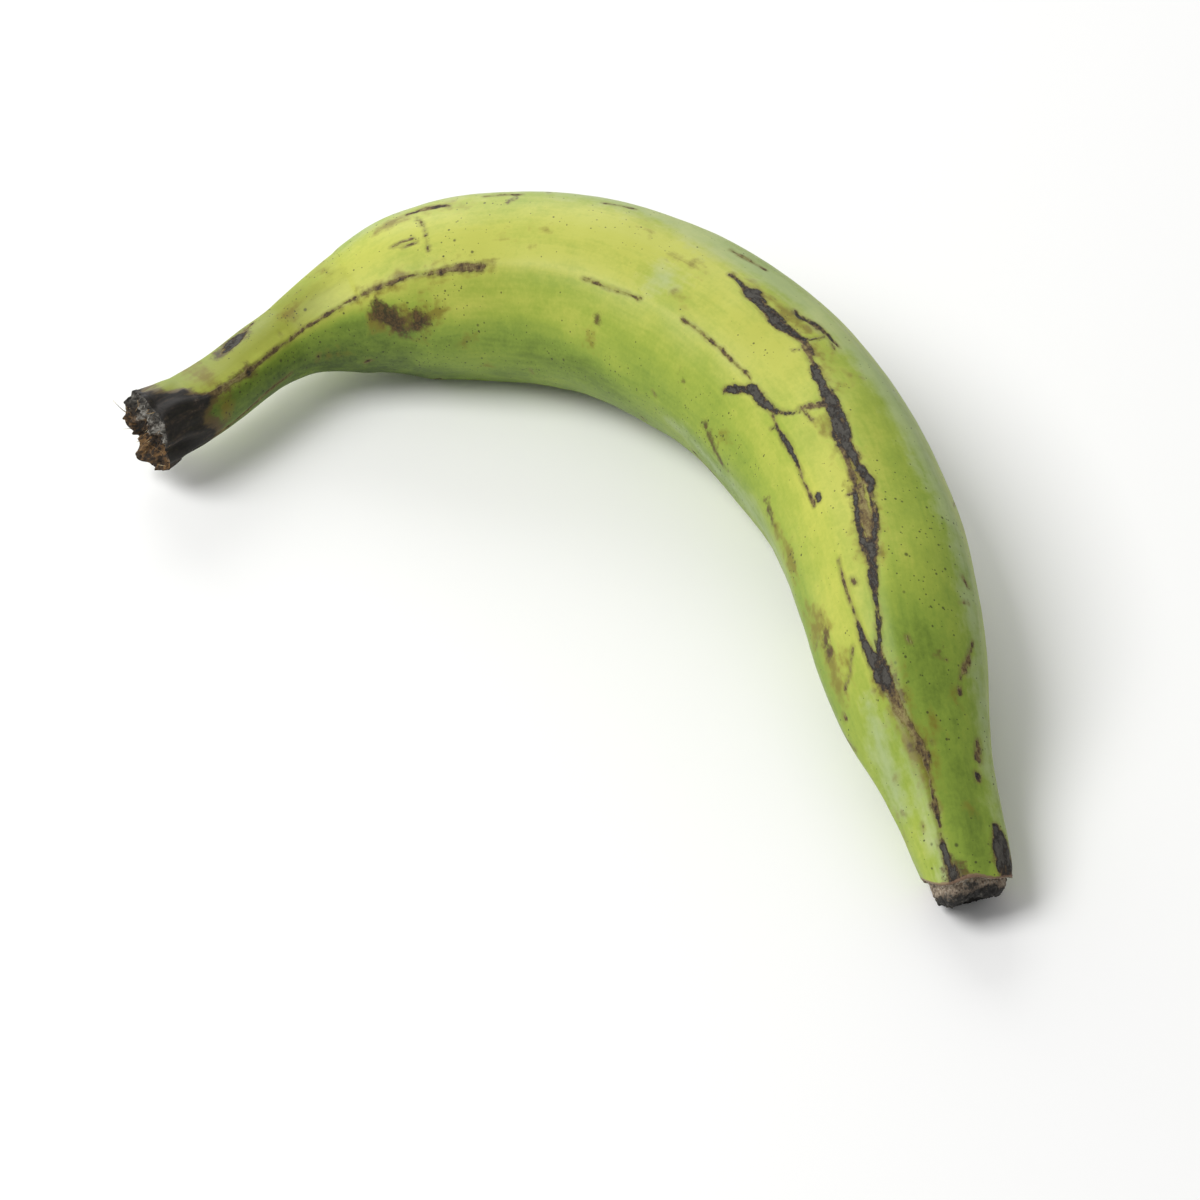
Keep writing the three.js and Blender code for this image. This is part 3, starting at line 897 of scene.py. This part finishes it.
# Wax bloom, broken up where fingers rubbed it, with painted light along the outline and on the tip's lit
# side, and ochre stains.
bloom_and_light_depth = weigh(tree, field["bloom"], noise, mottle=9.0, blotch=4.0, streak=4.0)
surface, bloom_and_light_cover = lay(tree, surface, linear(PALE_WAX_AND_LIGHT), bloom_and_light_depth, -2.4, 3.6, 0.42)
stain_depth = weigh(tree, field["ochre"], noise, mottle=9.0, blotch=6.0, streak=4.0)
surface, _ = lay(tree, surface, linear(OCHRE_BROWN), stain_depth, -1.2, 3.0, 0.78)

# Bruises: brown and mottled, with soft and broken edges.
bruise_depth = weigh(tree, field["bruise"], noise, blotch=5.0, mottle=4.0, crack=2.0)
bruise_tone = weigh(tree, 0.5, noise, blotch=0.6, crack=0.8)
bruise_colour = add(tree, "ShaderNodeValToRGB", {"Fac": bruise_tone}, stops=BRUISE_TONES)
surface, _ = lay(tree, surface, bruise_colour, bruise_depth, -1.2, 1.0, 0.92)

# Specks: one small dark dot in some cells of a net, most where the skin is green.
for spacing, radius in SPECKS:
    cell = {"Vector": spread, "Scale": 1 / spacing, "Randomness": 1.0}
    from_middle = add(tree, "ShaderNodeTexVoronoi", cell, output="Distance")
    cell_colour = add(tree, "ShaderNodeTexVoronoi", cell, output="Color")
    chance = add(tree, "ShaderNodeSeparateColor", {"Color": cell_colour}, output="Red")
    chance = weigh(tree, chance, noise, **SPECK_CLUSTERS)
    chance = add(
        tree, "ShaderNodeMath", {0: field["yellow"], 1: -FEWER_ON_YELLOW, 2: chance},
        operation="MULTIPLY_ADD",
    )
    size = add(
        tree, "ShaderNodeMapRange",
        {"Value": chance, "From Min": SPECK_GROWS[0], "From Max": SPECK_GROWS[1], "To Max": radius},
    )
    dot = add(tree, "ShaderNodeMath", {0: size, 1: from_middle}, operation="SUBTRACT")
    surface, _ = lay(tree, surface, linear(SPECK_BROWN), dot, -0.03, 0.06, 0.75)

# Scars: an olive halo, loose dark crumbs beside them, and a middle that is darker the deeper it is, up
# to a paler grey at the very deepest that is partly the scar's own grey and partly painted sheen.
depth = weigh(tree, field["scar"], noise, tear=1.3, blotch=1.0, mottle=1.4, crack=0.3)
surface, _ = lay(tree, surface, linear(HALO_OLIVE), depth, -0.9, 0.2, 0.6)
dried = add(
    tree, "ShaderNodeMapRange", {"Value": depth, "From Max": 0.8, "To Min": 0.5, "To Max": 0.95},
)
dried = add(tree, "ShaderNodeMath", {0: dried, 1: field["darkness"]}, operation="MULTIPLY")
dried = weigh(tree, dried, noise, blotch=1.3, tear=1.0, crack=0.7)
scar_colour = add(tree, "ShaderNodeValToRGB", {"Fac": dried}, stops=SCAR_TONES_AND_SHEEN)
crumbs = add(tree, "ShaderNodeMath", {0: field["scar"], 1: 0.0}, operation="MINIMUM")
crumbs = add(tree, "ShaderNodeMath", {0: crumbs, 1: 0.10, 2: noise["crack"]}, operation="MULTIPLY_ADD")
surface, _ = lay(tree, surface, scar_colour, crumbs, 0.66, 0.72, 0.6)
surface, scarred = lay(tree, surface, scar_colour, depth, -0.14, 0.30)

# The dried end of the stalk: black, streaked brown along its fibres, with pale flecks.
char_depth = weigh(tree, field["charred"], noise, tear=4.0, blotch=3.0)
surface, _ = lay(tree, surface, linear(CHAR_FRINGE), char_depth, -3.0, -0.3, 0.8)
char_tone = weigh(tree, 0.5, noise, tear=0.5, mottle=0.4, crack=0.3)
char_colour = add(tree, "ShaderNodeValToRGB", {"Fac": char_tone}, stops=CHAR_TONES)
surface, charcoal = lay(tree, surface, char_colour, char_depth, -0.9, 1.3)

# The skin's edge round the flower scar dries to a thin tan line.
edge_depth = weigh(tree, field["to_edge"], noise, tear=0.8)
surface, _ = lay(tree, surface, linear(EDGE_TAN), edge_depth, 0.40, 0.15, 0.85)

dull = add(
    tree, "ShaderNodeMath", {0: bloom_and_light_cover, 1: BLOOM_DULLING, 2: scarred}, operation="MULTIPLY_ADD",
)
dull = add(tree, "ShaderNodeMath", {0: dull, 1: charcoal}, operation="ADD")
roughness = add(
    tree, "ShaderNodeMapRange", {"Value": dull, "To Min": WAX_ROUGHNESS, "To Max": DRY_ROUGHNESS},
)

# Fine grain and streaks in the wax, and cracks in the scars.
height = add(tree, "ShaderNodeMath", {0: noise["grain"], 1: GRAIN_HEIGHT}, operation="MULTIPLY")
height = add(
    tree, "ShaderNodeMath", {0: noise["streak"], 1: STREAK_HEIGHT, 2: height},
    operation="MULTIPLY_ADD",
)
in_scars = add(tree, "ShaderNodeMath", {0: noise["crack"], 1: scarred}, operation="MULTIPLY")
height = add(
    tree, "ShaderNodeMath", {0: in_scars, 1: CRACK_HEIGHT, 2: height}, operation="MULTIPLY_ADD",
)
relief = add(tree, "ShaderNodeBump", {"Height": height, "Distance": MM, "Strength": 1.0})
shader = add(tree, "ShaderNodeBsdfPrincipled", {
    "Base Color": surface, "Roughness": roughness, "Normal": relief, "IOR": WAX_IOR,
    "Specular IOR Level": WAX_SPECULAR,
})
add(tree, "ShaderNodeOutputMaterial", {"Surface": shader})
mesh.materials.append(peel)


# Torn, dried stalk: broken fibres and pith that dried brown to black. It looks matt and stringy,
# papery grey in its upper lobe and rust brown in its lower one.
STALK_TONES = [(0.30, "#14110E"), (0.46, "#332618"), (0.58, "#6A4E2C"), (0.72, "#8F7148")]
PITH_TONES = [(0.34, "#191714"), (0.50, "#55514A"), (0.64, "#9A978F")]
STALK_PATTERNS = {"shreds": (3.0, 1, 3), "strings": (0.7, 1, 4)}
STALK_ROUGHNESS = 0.85
STRING_HEIGHT = 0.5

torn_stalk, tree = new_material("torn_dried_stalk")
spread = add(tree, "ShaderNodeAttribute", output="Vector", attribute_name="unbent")
noise = patterns(tree, spread, STALK_PATTERNS)
tone = weigh(tree, 0.47, noise, shreds=0.7, strings=0.7)
surface = add(tree, "ShaderNodeValToRGB", {"Fac": tone}, stops=STALK_TONES)
pith = add(tree, "ShaderNodeValToRGB", {"Fac": tone}, stops=PITH_TONES)
# Up is the third part of the drawn-out place.
above_middle = add(tree, "ShaderNodeSeparateXYZ", {"Vector": spread}, output="Z")
above_middle = weigh(tree, above_middle, noise, shreds=14.0)
surface, _ = lay(tree, surface, pith, above_middle, -1.5, 2.0)
relief = add(tree, "ShaderNodeBump", {
    "Height": noise["strings"], "Distance": STRING_HEIGHT * MM, "Strength": 1.0,
})
shader = add(tree, "ShaderNodeBsdfPrincipled", {
    "Base Color": surface, "Roughness": STALK_ROUGHNESS, "Normal": relief,
})
add(tree, "ShaderNodeOutputMaterial", {"Surface": shader})
mesh.materials.append(torn_stalk)


# Corky flower scar: dead tissue gone to cork, grey-brown on the collar and black in the hollow,
# with a dry, finely pitted surface.
COLLAR_TONES = [(0.30, "#4A4036"), (0.45, "#877867"), (0.57, "#A89985"), (0.68, "#CBC4B6")]
HOLLOW_TONES = [(0.36, "#0F0E0D"), (0.56, "#2B2824"), (0.70, "#5A564F")]
CORK_PATTERNS = {"blots": (2.6, 1, 2), "pits": (0.5, 1, 4)}
CORK_ROUGHNESS = 0.85
PIT_HEIGHT = 0.5

flower_scar, tree = new_material("corky_flower_scar")
spread = add(tree, "ShaderNodeAttribute", output="Vector", attribute_name="unbent")
inward = add(tree, "ShaderNodeAttribute", output="Fac", attribute_name="inward")
noise = patterns(tree, spread, CORK_PATTERNS)
tone = weigh(tree, 0.50, noise, blots=0.45, pits=0.9)
surface = add(tree, "ShaderNodeValToRGB", {"Fac": tone}, stops=COLLAR_TONES)
hollow_colour = add(tree, "ShaderNodeValToRGB", {"Fac": tone}, stops=HOLLOW_TONES)
hollow_depth = weigh(tree, inward, noise, blots=0.5, pits=0.3)
surface, _ = lay(tree, surface, hollow_colour, hollow_depth, 0.28, 0.38)
relief = add(tree, "ShaderNodeBump", {
    "Height": noise["pits"], "Distance": PIT_HEIGHT * MM, "Strength": 1.0,
})
shader = add(tree, "ShaderNodeBsdfPrincipled", {
    "Base Color": surface, "Roughness": CORK_ROUGHNESS, "Normal": relief,
})
add(tree, "ShaderNodeOutputMaterial", {"Surface": shader})
mesh.materials.append(flower_scar)


# Torn fibres: strands of the stalk that stretched before they broke, and then dried pale. Each is a
# tapered thread, rooted in the torn face, that curls to one side.
FIBRES = 40
ROOTED_BETWEEN = (0.1, 0.97)
FIBRE_LENGTH = (0.5, 2.4)
FIBRE_RADIUS = (0.09, 0.17)
FIBRE_STEPS = 8
FIBRE_SIDES = 6
FIBRE_ROOT = 0.8
FIBRE_SPREAD = 0.55
FIBRE_CURL = 0.16
FIBRE_TAPER = 0.75

draw = np.random.default_rng(61)
# The square root spreads the roots evenly over the face.
root_share = draw.uniform(*ROOTED_BETWEEN, FIBRES) ** 0.5
root_around = draw.uniform(0, 360, FIBRES)
fibre_length = draw.uniform(*FIBRE_LENGTH, FIBRES)
fibre_radius = draw.uniform(*FIBRE_RADIUS, FIBRES)
root_reach = skin(np.zeros(FIBRES), root_around) * root_share
root_onward = FIBRE_ROOT + through(TORN, root_share) - root_share * (
    through(RIM, root_around) + RAGGED_OUT * ragged(root_around, 1 - root_share)
)
root = unbent(root_onward, root_around, root_reach)
leaves = np.concatenate([-np.ones((FIBRES, 1)), draw.normal(0, FIBRE_SPREAD, (FIBRES, 2))], 1)
leaves /= np.linalg.norm(leaves, axis=1)[:, None]
curl = np.concatenate([np.zeros((FIBRES, 1)), draw.normal(0, FIBRE_CURL, (FIBRES, 2))], 1)
sideways = np.cross(leaves, [0, 0, 1])
sideways /= np.linalg.norm(sideways, axis=1)[:, None]
other_side = np.cross(leaves, sideways)


def fibre_points(step, turn):
    """A thread's skin: its root, plus the way it left, plus a curl that grows with the square of the
    distance, plus a circle that narrows towards the tip."""
    gone = (step[:, None] * (fibre_length + FIBRE_ROOT)[None])[..., None]
    middle = root + gone * leaves + gone**2 * curl
    radius = (fibre_radius * (1 - FIBRE_TAPER * step[:, None]))[..., None, None]
    circle = np.cos(turn)[:, None] * sideways[:, None] + np.sin(turn)[:, None] * other_side[:, None]
    return middle[..., None, :] + radius * circle


steps = np.linspace(0, 1, FIBRE_STEPS)
threads = fibre_points(steps, np.arange(FIBRE_SIDES) * 2 * np.pi / FIBRE_SIDES).transpose(1, 0, 2, 3)
tube = threads.reshape(FIBRES, -1, 3)
ends = threads[:, [0, -1]].mean(2)
local = np.concatenate([tube, ends], 1)
middle_point, ahead, outward, upward = (part[0] for part in station(np.zeros(1)))
placed = middle_point + local @ np.stack([ahead, outward, upward])

points_each = FIBRE_STEPS * FIBRE_SIDES + 2
faces = []
for k in range(FIBRES):
    for part in tube_faces(FIBRE_STEPS, FIBRE_SIDES):
        faces += (part + k * points_each).tolist()
fibre_mesh = bpy.data.meshes.new("torn_fibres")
fibre_mesh.from_pydata((placed.reshape(-1, 3) * MM).tolist(), [], faces)
fibre_mesh.shade_smooth()

# Dried stalk fibre: straw to rust brown, dull.
FIBRE_TONES = [(0.36, "#3A2A18"), (0.52, "#8A6A41"), (0.66, "#C0B08A")]
FIBRE_ROUGHNESS = 0.8
TONE_SIZE = 1.5
dried_fibre, tree = new_material("dried_stalk_fibre")
place = add(tree, "ShaderNodeTexCoord", output="Object")
tone = add(tree, "ShaderNodeTexNoise", {"Vector": place, "Scale": 1 / (TONE_SIZE * MM), "Detail": 2})
surface = add(tree, "ShaderNodeValToRGB", {"Fac": tone}, stops=FIBRE_TONES)
shader = add(
    tree, "ShaderNodeBsdfPrincipled", {"Base Color": surface, "Roughness": FIBRE_ROUGHNESS},
)
add(tree, "ShaderNodeOutputMaterial", {"Surface": shader})
fibre_mesh.materials.append(dried_fibre)

torn_fibres = bpy.data.objects.new("torn_fibres", fibre_mesh)
bpy.context.scene.collection.objects.link(torn_fibres)
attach(torn_fibres, "root")
